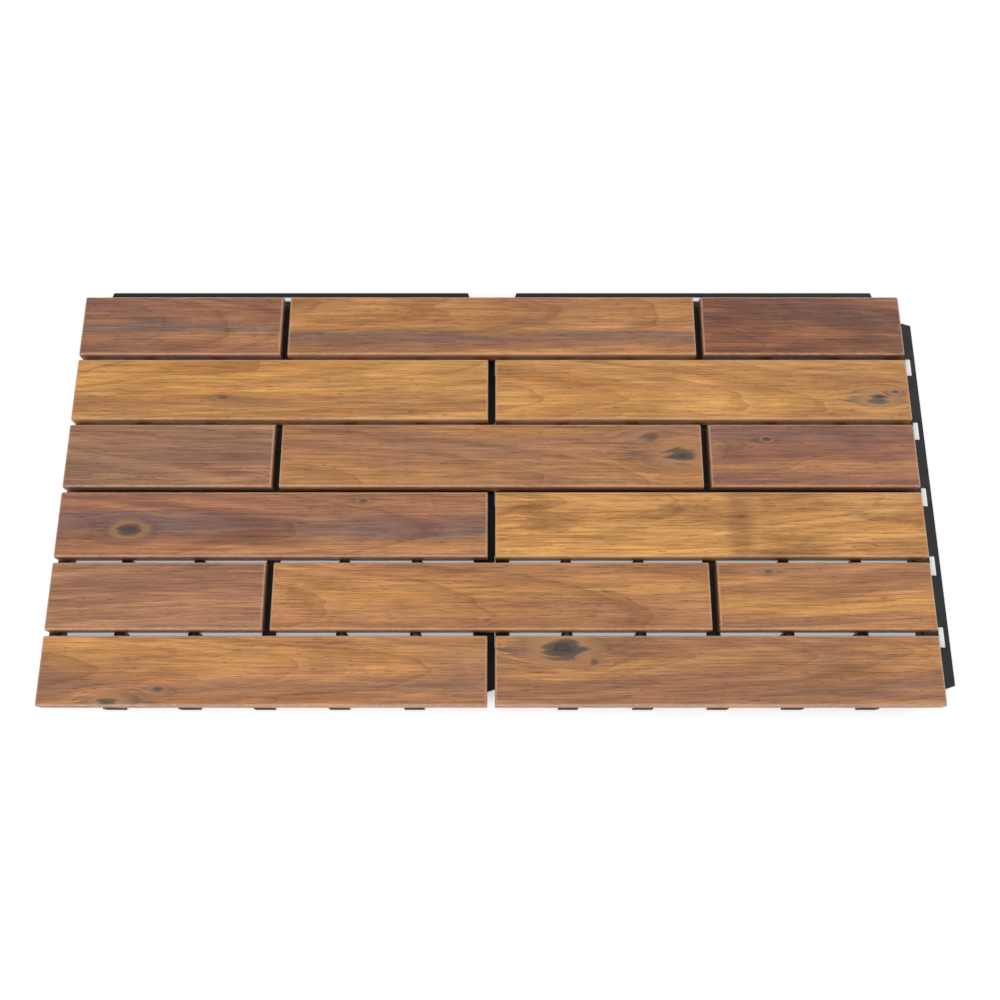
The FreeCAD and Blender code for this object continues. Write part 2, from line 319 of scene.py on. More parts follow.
def slat_surface(name, seed):
    """The closed surface of the slat that stands for a node, just inside the node's box."""
    low, high = (np.array(corner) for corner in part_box(name))
    size = high - low
    section = slat_profile(width=size[1], height=size[2])
    along = slat_stations(size[0])[:, None]
    across, up = section[None, :, 0], section[None, :, 1]
    rings = with_ends(slat_points(low, high, along, across, up, seed))
    piece = surface(name.replace("slat", "board"), rings, grid_faces(len(rings), len(section)))
    marks = arris_marks(low, high, along, across, up)
    attribute = piece.data.attributes.new("arris", "FLOAT", "POINT")
    attribute.data.foreach_set("value", marks.ravel().astype(np.float32))
    return piece


print("the pale line lies", round(ARRIS_PLACE * EDGE_ROUND / MM, 2), "mm in from the edge")

# %% [markdown]
# ## Small helpers for shader nodes
#
# A shader is a web of nodes. It can be joined up by hand in the editor, but fifteen boards
# with the same web are quicker written than drawn. Written out in full it takes pages, so
# these helpers add one node each and join it up: a value that is another node's socket is
# linked, and any other value is written on the input.

# %% Add and join nodes


def feed(tree, made, values):
    """Gives a node its inputs, by name or number: sockets are linked, the rest is written."""
    for key, value in dict(values).items():
        if isinstance(value, bpy.types.NodeSocket):
            tree.links.new(value, made.inputs[key])
        else:
            made.inputs[key].default_value = value


def node(tree, kind, values=(), **settings):
    """Adds a node with its settings and its inputs."""
    made = tree.nodes.new(kind)
    for name, value in settings.items():
        setattr(made, name, value)
    feed(tree, made, values)
    return made


def sums(tree, operation, first, second=0.0, third=0.0):
    """One step of arithmetic on numbers."""
    values = {0: first, 1: second, 2: third}
    return node(tree, "ShaderNodeMath", values, operation=operation).outputs[0]


def product(tree, first, *others):
    """All the numbers multiplied together, one after the other."""
    for other in others:
        first = sums(tree, "MULTIPLY", first, other)
    return first


def vectors(tree, operation, first, second=(0.0, 0.0, 0.0)):
    """One step of arithmetic on vectors. A length comes out as a number."""
    made = node(tree, "ShaderNodeVectorMath", {0: first, 1: second}, operation=operation)
    return made.outputs["Value" if operation == "LENGTH" else "Vector"]


def parts_of(tree, vector):
    """The three numbers of a vector: along, across and up."""
    return node(tree, "ShaderNodeSeparateXYZ", {0: vector}).outputs


print("helpers for numbers and vectors:", sums.__name__, product.__name__, vectors.__name__)

# %% [markdown]
# The next helpers shape what the patterns look like. A range with soft ends turns a noise into
# patches, a fade is such a range that falls to nothing, and a noise has its own number of
# cells along, across and up, because wood is drawn out along the grain.

# %% Ranges, noises and colours


def stretch(tree, value, low, high, to_low=0.0, to_high=1.0):
    """Maps the range from low to high onto another range, with soft ends."""
    values = {"Value": value, 1: low, 2: high, 3: to_low, 4: to_high}
    made = node(tree, "ShaderNodeMapRange", values, interpolation_type="SMOOTHSTEP")
    return made.outputs[0]


def fade(tree, value, low, high, full=1.0):
    """Full up to low, and from there softly down to nothing at high."""
    return stretch(tree, value, low, high, to_low=full, to_high=0.0)


def noise(tree, place, cells, detail, rough, colour=False):
    """Noise with its own number of cells to a metre along X, Y and Z."""
    scaled = vectors(tree, "MULTIPLY", place, cells)
    values = {"Vector": scaled, "Scale": 1.0, "Detail": detail, "Roughness": rough}
    return node(tree, "ShaderNodeTexNoise", values).outputs[1 if colour else 0]


def mixed(tree, amount, first, second, kind="MIX"):
    """Two colours mixed by an amount."""
    values = {0: amount, 6: first, 7: second}
    return node(tree, "ShaderNodeMix", values, data_type="RGBA", blend_type=kind).outputs[2]


def linear(code):
    """A colour written as six hexadecimal digits, as the linear values that nodes use.

    Each part of a screen's colour is raised to the power 2.4, apart from the darkest ones,
    which stay proportional.
    """
    parts = [int(code[i:i + 2], 16) / 255 for i in (0, 2, 4)]
    return (*[p / 12.92 if p < 0.04045 else ((p + 0.055) / 1.055) ** 2.4 for p in parts], 1.0)


print("a middle grey, 808080, in linear values:", round(linear("808080")[0], 3))

# %% [markdown]
# Last, a fresh material and a fresh group. A group is a web with named inputs and outputs that
# many materials share, so the wood is built once. The shader itself stays in each material.

# %% New materials and groups


def new_material(name):
    """A material, its tree and its shader."""
    material = bpy.data.materials.new(name)
    material.use_nodes = True
    return material, material.node_tree, material.node_tree.nodes["Principled BSDF"]


def new_group(name, inputs, outputs):
    """An empty node group with named inputs and outputs, and its two end nodes."""
    group = bpy.data.node_groups.new(name, "ShaderNodeTree")
    for label, kind in inputs:
        group.interface.new_socket(label, in_out="INPUT", socket_type=f"NodeSocket{kind}")
    for label, kind in outputs:
        group.interface.new_socket(label, in_out="OUTPUT", socket_type=f"NodeSocket{kind}")
    return group, group.nodes.new("NodeGroupInput").outputs, group.nodes.new("NodeGroupOutput")


print("materials so far:", len(bpy.data.materials))

# %% [markdown]
# ## Wood as a solid block
#
# Wood isn't a picture on a surface. It is layers round the tree's heart, one for each year, and
# a board is a slice through them. A photograph of wood would need unwrapping and would repeat
# on fifteen boards, so the recipe works in three dimensions instead: it measures how far a
# point is from the heart of the tree and looks up the tone of that layer. The end grain then
# matches the face with no extra work. It is a node group, so each slat uses the same recipe
# with its own heart, tones and knots.

# %% The wood group
KNOTS = ("A", "B")
wood_inputs = [
    ("Place", "Vector"), ("Shift", "Vector"), ("Heart", "Vector"), ("Ring Width", "Float"),
    ("Gold", "Color"), ("Light", "Color"), ("Middle", "Color"), ("Dark", "Color"),
    ("Streak", "Color"), ("Streak Amount", "Float"), ("Mottle", "Float"), ("Figure", "Float"),
    ("Arris", "Float"), ("Band Place", "Float"), ("Band Amount", "Float"),
    ("Gold Zone", "Vector"), ("Grey Zone", "Vector"),
]
for letter in KNOTS:
    wood_inputs += [(f"Knot {letter}", "Vector"), (f"Knot {letter} Size", "Float"),
                    (f"Knot {letter} Depth", "Float")]
wood, given, result = new_group(
    "oiled_hardwood", wood_inputs,
    [("Color", "Color"), ("Roughness", "Float"), ("Height", "Float")])


def grown(step):
    """Prints how large the wood group is after a step."""
    print(step, "done, the wood group has", len(wood.nodes), "nodes")


grown("inputs")

# %% [markdown]
# The layers of a real board never run dead straight, and they bend aside round a knot, because
# a branch grew through them. Both are made by moving the place at which the pattern is read:
# first it is shaken a little, then drawn in towards each knot, which pushes the layers
# outwards round it. Drawing bent lines would be more work and would not match on the ends.

# %% Grain that bends round the knots
SHAKEN = (0.0, 0.010, 0.006)
KNOT_BALL = (0.5, 1.0, 0.1)
DRAWN_IN = 0.85
SMALLEST = 0.0001


def from_knot(letter, ball):
    """The way from a knot to the point, and its length in radii of the knot.

    The length is measured in a ball that is drawn out by one over each number of ball.
    """
    away = vectors(wood, "SUBTRACT", given["Place"], given[f"Knot {letter}"])
    length = vectors(wood, "LENGTH", vectors(wood, "MULTIPLY", away, ball))
    radius = sums(wood, "MAXIMUM", given[f"Knot {letter} Size"], SMALLEST)
    return away, sums(wood, "DIVIDE", length, radius)


seeded = vectors(wood, "ADD", given["Place"], given["Shift"])
shake = noise(wood, seeded, cells=(5, 26, 26), detail=3, rough=0.5, colour=True)
shake = vectors(wood, "SUBTRACT", shake, (0.5, 0.5, 0.5))
bent = vectors(wood, "ADD", given["Place"], vectors(wood, "MULTIPLY", shake, SHAKEN))
knot_reach = {}
for letter in KNOTS:
    away, knot_reach[letter] = from_knot(letter, KNOT_BALL)
    pull = fade(wood, knot_reach[letter], 0.6, 5.5, full=-DRAWN_IN)
    drawn = node(wood, "ShaderNodeVectorMath", {0: away, "Scale": pull}, operation="SCALE")
    bent = vectors(wood, "ADD", bent, drawn.outputs["Vector"])
bent_seeded = vectors(wood, "ADD", bent, given["Shift"])
grown("grain")

# %% [markdown]
# Then the layers. The distance from the heart changes slowly along the board, because a trunk
# tapers, and this is what draws the long arches of a flat-sawn board. A wave texture in rings
# would make all years alike, so one noise is stretched over the layers, and a sharper wave
# marks the late wood at the end of each year. The grey-purple stain of the heart wood follows
# the layers too, only more slowly.

# %% Layers, late wood and stain
TAPER = 0.035
YEARS_ALONG = 3.5
LATE_WANDER = 1.8
LATE_SHARPNESS = 5.0

apart = parts_of(wood, vectors(wood, "SUBTRACT", bent, given["Heart"]))
squares = sums(wood, "ADD", product(wood, apart[1], apart[1]), product(wood, apart[2], apart[2]))
tapered = sums(wood, "ADD", sums(wood, "SQRT", squares), product(wood, apart[0], TAPER))
layer = sums(wood, "DIVIDE", tapered, given["Ring Width"])
spread = node(wood, "ShaderNodeCombineXYZ", {0: product(wood, apart[0], YEARS_ALONG), 1: layer})
layered = vectors(wood, "ADD", spread.outputs[0], given["Shift"])
years = noise(wood, layered, cells=(1, 0.9, 1), detail=4, rough=0.62)
stain = noise(wood, layered, cells=(0.55, 0.33, 1), detail=3, rough=0.55)
stain = stretch(wood, stain, 0.48, 0.66)
late = sums(wood, "ADD", layer, product(wood, years, LATE_WANDER))
late = sums(wood, "POWER", sums(wood, "FRACT", late), LATE_SHARPNESS)
grown("layers")

# %% [markdown]
# Wood is also full of finer things, and each is a noise drawn out along the grain: fibres and
# strands are long and thin, pores are short dark dashes, streaks run far along the board, the
# figure lies across it, and the oil leaves slow changes of tone, the mottling. One noise with
# many layers would blur them all together, so each gets its own.

# %% Fibres, pores and mottling
fibres = noise(wood, seeded, cells=(26, 1300, 1300), detail=3, rough=0.6)
pores = noise(wood, seeded, cells=(120, 1500, 1500), detail=1, rough=0.5)
pores = stretch(wood, pores, 0.63, 0.71)
figure = noise(wood, seeded, cells=(90, 20, 20), detail=2, rough=0.5)
ragged = noise(wood, seeded, cells=(260, 480, 480), detail=3, rough=0.55)
streaks = noise(wood, bent_seeded, cells=(2.4, 100, 100), detail=5, rough=0.62)
mottle = noise(wood, bent_seeded, cells=(12, 52, 52), detail=4, rough=0.6)
strands = noise(wood, bent_seeded, cells=(24, 400, 400), detail=3, rough=0.65)
grown("fibres and pores")

# %% [markdown]
# ## The tones of the wood
#
# The tones are mixed from light to dark in the order in which they lie in real wood, each one
# over what is there already. It starts with the ground tone of the layers. A colour ramp could
# hold all tones at once, but then a board couldn't have its own, so the tones are inputs of
# the group, mixed one by one.

# %% Ground tones
ground = mixed(wood, stretch(wood, years, 0.36, 0.60), given["Light"], given["Middle"])
dull = stretch(wood, streaks, 0.56, 0.34, to_high=0.55)
ground = mixed(wood, dull, ground, given["Middle"])
golden = stretch(wood, streaks, 0.50, 0.68, to_high=0.6)
ground = mixed(wood, golden, ground, given["Gold"])
blotch = product(wood, stretch(wood, mottle, 0.46, 0.66), given["Mottle"])
ground = mixed(wood, blotch, ground, given["Dark"])
grown("ground tones")

# %% [markdown]
# Many boards are golden along one side and grey along another, where the saw went from outer
# wood into heart wood. Noise alone never puts that in the right place, so each board gives the
# middle, half width and strength of two zones, and the mottling and the streaks ravel their
# edges.

# %% Golden and grey zones
ZONE_STRAY = 0.012
bent_along, bent_across, _ = parts_of(wood, bent)
for zone, colour in (("Gold Zone", "Gold"), ("Grey Zone", "Streak")):
    middle, half, strength = parts_of(wood, given[zone])
    distance = sums(wood, "ABSOLUTE", sums(wood, "SUBTRACT", bent_across, middle))
    stray = sums(wood, "MULTIPLY_ADD", mottle, 2 * ZONE_STRAY, -ZONE_STRAY)
    distance = sums(wood, "ADD", distance, stray)
    distance = sums(wood, "DIVIDE", distance, sums(wood, "MAXIMUM", half, SMALLEST))
    streaky = stretch(wood, streaks, 0.36, 0.6, to_low=0.45)
    amount = product(wood, fade(wood, distance, 0.2, 1.5), strength, streaky)
    ground = mixed(wood, amount, ground, given[colour])
grown("zones")

# %% [markdown]
# One board has a dark band across it, as a stain or a stacking stick leaves behind. It is the
# same idea as a zone, only measured along the board. The stain of the heart wood and the late
# wood of each year come on top of it.

# %% A dark band, the stain and the late wood
BAND_STRAY = 0.012
LATE_DARKNESS = 0.42
from_band = sums(wood, "ABSOLUTE", sums(wood, "SUBTRACT", bent_along, given["Band Place"]))
from_band = sums(wood, "ADD", from_band, product(wood, mottle, BAND_STRAY))
band = product(wood, fade(wood, from_band, 0.008, 0.019), given["Band Amount"])
ground = mixed(wood, band, ground, given["Dark"])
ground = mixed(wood, product(wood, stain, given["Streak Amount"]), ground, given["Streak"])
ground = mixed(wood, product(wood, late, LATE_DARKNESS), ground, given["Dark"])
grown("band and late wood")

# %% [markdown]
# Fibres, strands and pores change how bright the wood is and hardly change its colour, so they
# are worked out as one grey and multiplied over it. End grain drinks more oil and is darker.
# The surface's own normal tells it from the face, so no second material is needed.

# %% Brightness
figured = product(wood, stretch(wood, figure, 0.40, 0.62, to_low=-1.0), given["Figure"])
bright = sums(wood, "ADD", stretch(wood, fibres, 0.30, 0.70, 0.77, 1.24), figured)
normal = node(wood, "ShaderNodeNewGeometry").outputs["Normal"]
endways = sums(wood, "ABSOLUTE", parts_of(wood, normal)[0])
bright = product(
    wood, bright,
    stretch(wood, strands, 0.34, 0.66, 0.86, 1.14),
    stretch(wood, pores, 0.0, 1.0, 1.0, 0.6),
    stretch(wood, endways, 0.6, 0.95, 1.0, 0.62))
grey = node(wood, "ShaderNodeCombineColor", {0: bright, 1: bright, 2: bright}).outputs[0]
tone = mixed(wood, 1.0, ground, grey, "MULTIPLY")
grown("brightness")

# %% [markdown]
# ## Knots
#
# A knot is a branch cut across: a dark ringed core, a pale collar where the layers swell round
# it, a brown shade, and a grey smear of resin along the grain. All four depend on the distance
# to the knot, which is already known, so they are four more layers of colour. Modelled as
# discs of their own they would show an edge, so they stay in the wood.

# %% Layers of a knot
SMEAR_BALL = (0.24, 1.0, 0.1)
COLLAR_AMOUNT = 0.55
RINGS_PER_RADIUS = 13.0
KNOT_SHADE, KNOT_SMEAR = linear("6A4630"), linear("4A4540")
KNOT_COLLAR, KNOT_CORE = linear("C68E5C"), linear("322E2C")
for letter in KNOTS:
    depth = given[f"Knot {letter} Depth"]
    edge = sums(wood, "ADD", knot_reach[letter], product(wood, ragged, 0.5))
    edge = sums(wood, "ADD", edge, stretch(wood, strands, 0.36, 0.64, to_high=1.1))
    smear = from_knot(letter, SMEAR_BALL)[1]
    smear = sums(wood, "ADD", smear, stretch(wood, strands, 0.36, 0.64, to_high=1.5))
    rings = sums(wood, "SINE", product(wood, edge, RINGS_PER_RADIUS))
    collar = product(wood, stretch(wood, edge, 1.6, 2.1), fade(wood, edge, 2.1, 3.6))
    core = product(wood, fade(wood, edge, 0.9, 1.7), depth, stretch(wood, rings, -1.0, 1.0, 0.6))
    for amount, colour in (
        (product(wood, fade(wood, edge, 1.0, 4.2, full=0.4), depth), KNOT_SHADE),
        (product(wood, fade(wood, smear, 1.0, 3.3, full=0.8), depth), KNOT_SMEAR),
        (product(wood, collar, product(wood, depth, COLLAR_AMOUNT)), KNOT_COLLAR),
        (core, KNOT_CORE),
    ):
        tone = mixed(wood, amount, tone, colour)
grown("knots")

# %% [markdown]
# ## Edges, sheen and relief
#
# The pale edges come last, over everything else: partly wear, and partly a painted highlight
# along the rounded edges. Oil sinks into the pores and leaves a soft sheen on the late wood, so
# the roughness follows the same layers, and so does the height: pores are small pits and late
# wood stands proud. Such fine relief is cheapest as a bump, so the group only gives its height
# and each material turns it into one.

# %% Outputs of the wood group
# A pale colour along the rounded upper edges: partly wear, partly a painted highlight where the edges
# would catch the light.
PALE_EDGE_WEAR_AND_HIGHLIGHT = linear("D8B090")
edge_wear_and_highlight = product(wood, given["Arris"], stretch(wood, ragged, 0.3, 0.7, 0.4, 0.8))
sheen = sums(wood, "ADD", stretch(wood, fibres, 0.2, 0.8, 0.58, 0.42), product(wood, pores, 0.2))
relief = sums(wood, "ADD", product(wood, fibres, 0.35), product(wood, late, 0.3))
feed(wood, result, {
    "Color": mixed(wood, edge_wear_and_highlight, tone, PALE_EDGE_WEAR_AND_HIGHLIGHT),
    "Roughness": sums(wood, "SUBTRACT", sheen, product(wood, late, 0.06)),
    "Height": sums(wood, "SUBTRACT", relief, product(wood, pores, 0.9)),
})
grown("outputs")

# %% [markdown]
# ## Fifteen different boards
#
# The slats come from different planks, so each has its own tones, and some have a knot or a
# stain. Picking them at random would be quicker, but it would be another tile, so two tables
# hold what each slat has. The first names its tones, how strong its stain and its mottling
# are, and where its knots lie: as a share of its length from the left and of its width from
# the near edge, with the knot's radius in millimetres and how dark it is. The second has its
# golden and its grey zone: where across the slat, half how wide in millimetres, how strong.

# %% Tones, knots and zones of each slat
TONE_NAMES = ("Gold", "Light", "Middle", "Dark", "Streak")
TONES = {
    "honey": ("E0A65A", "D29A5A", "B87E44", "80502A", "8A6450"),
    "tan": ("D2974F", "C4895A", "A56F46", "7A4826", "7A5C52"),
    "brown": ("C48A52", "B37D57", "93614A", "6A3F2C", "6E5A56"),
    "rose": ("C08D60", "B4815A", "9A6A50", "6E4634", "715A50"),
    "umber": ("B5764A", "A06A4A", "7F4E38", "552F20", "5E4640"),
}
BOARDS = {
    "slat_1_left": ("tan", 0.45, 0.30, ((0.16, 0.03, 3.2, 0.95), (0.27, 0.24, 1.6, 0.6))),
    "slat_1_right": ("tan", 0.35, 0.28, ((0.15, 0.84, 6.0, 1.0), (0.22, 0.62, 2.0, 0.4))),
    "slat_2_left": ("rose", 0.10, 0.10, ()),
    "slat_2_middle": ("tan", 0.10, 0.25, ()),
    "slat_2_right": ("tan", 0.25, 0.35, ((0.24, 0.86, 1.3, 0.55),)),
    "slat_3_left": ("brown", 0.50, 0.25, ((0.17, 0.42, 3.0, 0.75), (0.71, 0.85, 1.2, 0.5))),
    "slat_3_right": ("honey", 0.10, 0.70, ()),
    "slat_4_left": ("rose", 0.45, 0.20, ()),
    "slat_4_middle": ("tan", 0.35, 0.25, ((0.955, 0.50, 5.6, 1.0), (0.87, 0.80, 2.8, 0.45))),
    "slat_4_right": ("brown", 0.35, 0.35, ((0.28, 0.76, 1.1, 0.6),)),
    "slat_5_left": ("honey", 0.25, 0.30, ((0.36, 0.36, 1.5, 0.4),)),
    "slat_5_right": ("honey", 0.20, 0.30, ((0.925, 0.36, 3.4, 1.0), (0.965, 0.45, 1.1, 0.8))),
    "slat_6_left": ("brown", 0.40, 0.30, ()),
    "slat_6_middle": ("tan", 0.25, 0.30, ()),
    "slat_6_right": ("umber", 0.40, 0.55, ()),
}
ZONES = {
    "slat_1_left": ((0.72, 9, 0.5), (0.25, 5, 0.5)),
    "slat_1_right": ((0.55, 5, 0.5), (0.20, 8, 0.3)),
    "slat_2_left": ((0.12, 5, 0.3), (0.75, 7, 0.1)),
    "slat_2_middle": ((0.62, 12, 0.4), (0.30, 5, 0.1)),
    "slat_2_right": ((0.35, 9, 0.4), (0.85, 4, 0.3)),
    "slat_3_left": ((0.14, 4, 0.5), (0.48, 8, 0.9)),
    "slat_3_right": ((0.25, 10, 0.4), (0.80, 4, 0.1)),
    "slat_4_left": ((0.08, 4, 0.5), (0.60, 12, 0.4)),
    "slat_4_middle": ((0.24, 6, 0.8), (0.68, 9, 0.45)),
    "slat_4_right": ((0.30, 6, 0.3), (0.85, 6, 0.4)),
    "slat_5_left": ((0.68, 12, 0.5), (0.22, 5, 0.45)),
    "slat_5_right": ((0.30, 10, 0.5), (0.85, 4, 0.15)),
    "slat_6_left": ((0.22, 5, 0.5), (0.45, 5, 0.6)),
    "slat_6_middle": ((0.70, 7, 0.6), (0.28, 6, 0.85)),
    "slat_6_right": ((0.15, 5, 0.2), (0.60, 8, 0.3)),
}
print(len(BOARDS), "boards with", sum(len(knots) for *_, knots in BOARDS.values()), "knots")

# %% [markdown]
# What the tables don't say is left to chance: where the heart of the tree lay, beside and
# below the board, how wide its years were, and which part of the noises the board is cut from.
# A seed keeps the draw the same each time. The heart's place and the years are in millimetres.
# The shift is in metres, because the next part of a noise is far away.

# %% What is one slat's own
HEART_ASIDE = 35
HEART_BELOW = (35, 85)
RING_WIDTH = (2.2, 4.0)
PATTERN_SHIFT = 40
FIGURE_AMOUNT = 0.015
BANDED, BAND_AT, BAND_DARKNESS = "slat_3_right", 0.57, 0.5
random = np.random.default_rng(26)


def point_on(name, share_along, share_across):
    """A point of a slat's top: its low corner plus that share of its length and its width."""
    low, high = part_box(name)
    return (low[0] + share_along * (high[0] - low[0]), low[1] + share_across * (high[1] - low[1]),
            high[2])


def board_values(name):
    """The inputs of the wood group that are one slat's own, drawn in a fixed order."""
    tone_name, streak, mottling, knots = BOARDS[name]
    low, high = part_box(name)
    heart_side = random.uniform(-HEART_ASIDE, HEART_ASIDE) * MM
    heart_down = random.uniform(*HEART_BELOW) * MM
    values = {
        "Shift": tuple(random.uniform(-PATTERN_SHIFT, PATTERN_SHIFT, 3)),
        "Heart": (low[0], (low[1] + high[1]) / 2 + heart_side, low[2] - heart_down),
        "Ring Width": random.uniform(*RING_WIDTH) * MM,
        "Streak Amount": streak,
        "Mottle": mottling,
        "Figure": FIGURE_AMOUNT,
        "Band Place": point_on(name, BAND_AT, 0)[0],
        "Band Amount": BAND_DARKNESS if name == BANDED else 0.0,
    }
    for label, code in zip(TONE_NAMES, TONES[tone_name]):
        values[label] = linear(code)
    for zone, (share_across, half, strength) in zip(("Gold Zone", "Grey Zone"), ZONES[name]):
        values[zone] = (point_on(name, 0, share_across)[1], half * MM, strength)
    for letter, (share_along, share_across, radius, depth) in zip(KNOTS, knots):
        values[f"Knot {letter}"] = point_on(name, share_along, share_across)
        values[f"Knot {letter} Size"] = radius * MM
        values[f"Knot {letter} Depth"] = depth
    return values


middle = point_on(SLATS[0], 0.5, 0.5)
print("middle of the top of", SLATS[0], "in mm:", [round(value / MM, 1) for value in middle])

# %% [markdown]
# The material then only joins these values to the wood group and the group to the shader. Oil
# is no varnish, so the shine stays low, and there is no coat over the wood.

# %% The oiled wood of one slat
OIL_SHINE = 0.35
GRAIN_BUMP = 0.35
GRAIN_DEEP = 0.15 * MM


def board_material(name):
    """The oiled wood of one slat: its values, the wood group, a bump and the shader."""
    material, tree, shader = new_material(f"oiled_{name}")
    values = board_values(name)
    values["Place"] = node(tree, "ShaderNodeTexCoord").outputs["Object"]
    values["Arris"] = node(tree, "ShaderNodeAttribute", attribute_name="arris").outputs["Fac"]
    made = node(tree, "ShaderNodeGroup", values, node_tree=wood).outputs
    bump = node(tree, "ShaderNodeBump", {"Height": made["Height"], "Strength": GRAIN_BUMP,
                                         "Distance": GRAIN_DEEP})
    feed(tree, shader, {
        "Base Color": made["Color"],
        "Roughness": made["Roughness"],
        "Normal": bump.outputs["Normal"],
        "Specular IOR Level": OIL_SHINE,
    })
    return material


print("oil shine:", OIL_SHINE)

# %% [markdown]
# Now each slat's surface gets its material. It rides on the tile's one body, and it stands for
# the plain CAD slat, which is hidden.

# %% Make the fifteen boards
BOARD_SEED = 300
for number, name in enumerate(SLATS):
    board = slat_surface(name, BOARD_SEED + number)
    board.data.materials.append(board_material(name))
    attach(board, "root")
    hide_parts(name)

# %% [markdown]
# ## Black moulded plastic
#
# The mouldings keep the shape that they were packed with, since a moulding's ribs are flat and
# straight. Recycled polypropylene comes out of the mould nearly black, with a fine matt grain
# from the etched tool and faint flow marks. A flat black would look like a hole in the floor,
# so the finish is a dark colour that hardly varies, a roughness that varies a little more, and
# a very fine bump.

# %% Plastic
PLASTIC_SHINE = 0.3
MOULD_BUMP = 0.25
MOULD_DEEP = 0.06 * MM
plastic, tree, shader = new_material("moulded_plastic")
place = node(tree, "ShaderNodeTexCoord").outputs["Object"]
grain = noise(tree, place, cells=(1500, 1500, 1500), detail=2, rough=0.5)
flow = noise(tree, place, cells=(22, 60, 60), detail=3, rough=0.6)
bump = node(tree, "ShaderNodeBump", {"Height": grain, "Strength": MOULD_BUMP,
                                     "Distance": MOULD_DEEP})
feed(tree, shader, {
    "Base Color": mixed(tree, stretch(tree, flow, 0.3, 0.7), linear("0C0E11"), linear("14171A")),
    "Roughness": stretch(tree, flow, 0.3, 0.7, 0.42, 0.56),
    "Normal": bump.outputs["Normal"],
    "Specular IOR Level": PLASTIC_SHINE,
})
for name in BASES:
    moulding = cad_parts[name]
    moulding.data.materials.clear()
    moulding.data.materials.append(plastic)
print("plastic on", len(BASES), "mouldings")

# %% [markdown]
# ## The strips under the end joints
#
# Where two slats of a split row meet end to end, the moulding has a black strip under the
# joint, so that no floor shows through it. It is part of the moulding. A long cube with a
# bevel would do, but the rings are at hand. It starts with a section: a rectangle with rounded
# corners, because a mould can't make sharp ones.

# %% A rounded section
STRIP_WIDE = 9.0 * MM
STRIP_THICK = 2.4 * MM
STRIP_ROUND = 0.5 * MM
CORNER_POINTS = 6


def rounded_section(wide, thick, radius):
    """Points round a rectangle with quarter circles for corners, across and up.

    Each corner is its middle, one radius inside, plus the radius times the cosine and the
    sine of a turn that goes on from corner to corner.
    """
    turn = np.linspace(0, math.pi / 2, CORNER_POINTS)
    corners = []
    for quarter, (side, lift) in enumerate(((1, 1), (-1, 1), (-1, -1), (1, -1))):
        middle = np.array([side * (wide / 2 - radius), lift * (thick / 2 - radius)])
        round_it = np.stack([np.cos(turn + quarter * math.pi / 2),
                             np.sin(turn + quarter * math.pi / 2)], axis=-1)
        corners.append(middle + radius * round_it)
    return np.concatenate(corners)


strip_section = rounded_section(STRIP_WIDE, STRIP_THICK, STRIP_ROUND)
print("points round a strip:", len(strip_section))

# %% [markdown]
# The section is then carried along the moulding from wall to wall, just below its top, and
# the ends are turned in by the same rounding.

# %% Strips under the end joints
STRIP_BELOW = 0.1 * MM
WALL_INSIDE = 13.5 * MM
STRIP_RINGS = 60
STRIP_ENDS = np.array([0.0, 0.15, 0.4, 0.7, 1.0]) * STRIP_ROUND


def strip(name, base, left, right):
    """A bar under the joint between two slats, from wall to wall of its moulding.

    The section is carried along, and near both ends its width and its thickness shrink by
    twice the drop of the rounding.
    """
    low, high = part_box(base)
    across = (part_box(left)[1][0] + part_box(right)[0][0]) / 2
    length = high[1] - low[1] - 2 * WALL_INSIDE
    inner = np.linspace(2 * STRIP_ROUND, length - 2 * STRIP_ROUND, STRIP_RINGS)
    stations = np.concatenate([STRIP_ENDS, inner, length - STRIP_ENDS[::-1]])
    drop = arc_drop(np.minimum(stations, length - stations), STRIP_ROUND)[:, None]
    middle = high[2] - STRIP_BELOW - STRIP_THICK / 2
    points = np.empty((len(stations), len(strip_section), 3))
    points[..., 0] = across + strip_section[:, 0] * (1 - 2 * drop / STRIP_WIDE)
    points[..., 1] = low[1] + WALL_INSIDE + stations[:, None]
    points[..., 2] = middle + strip_section[:, 1] * (1 - 2 * drop / STRIP_THICK)
    rings = with_ends(points)
    bar = surface(name, rings, grid_faces(len(rings), len(strip_section)))
    bar.data.materials.append(plastic)
    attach(bar, "root")
    print(name, "is", round(length / MM, 1), "mm long")


strip("joint_strip_left", "base_left", "slat_2_left", "slat_2_middle")
strip("joint_strip_right", "base_right", "slat_2_middle", "slat_2_right")

# %% [markdown]
# ## Screws
#
# The screws show only from below. Each has a hexagon head with its corners turned off, and a
# thread. A cylinder with a Screw modifier for the thread would be two pieces that have to be
# merged, so both are one surface of turning: going round, the distance from the axis follows a
# hexagon in the head and a ramp that climbs one pitch a turn in the thread.

# %% Shape of one screw
HEAD_FLAT = 3.1 * MM
HEAD_ROUND = 3.45 * MM
HEAD_HIGH = 2.2 * MM
HEAD_RINGS = ((0.0, 0.0, 0.0), (0.45, 0.0, 0.0), (0.86, 0.0, 0.0), (1.0, 0.45, 0.0),
              (1.0, 2.2, 0.3))
CORE_RADIUS = 1.25 * MM
THREAD_RADIUS = 1.66 * MM
THREAD_PITCH = 1.4 * MM
THREAD_START = 0.3 * MM
TOOTH_SHARPNESS = 3.2
RINGS_PER_PITCH = 8
TIP_LONG = 2 * MM
TIP_RADIUS = 0.05 * MM
SCREW_LONG = 10.9 * MM
ROUND_STEPS = 36


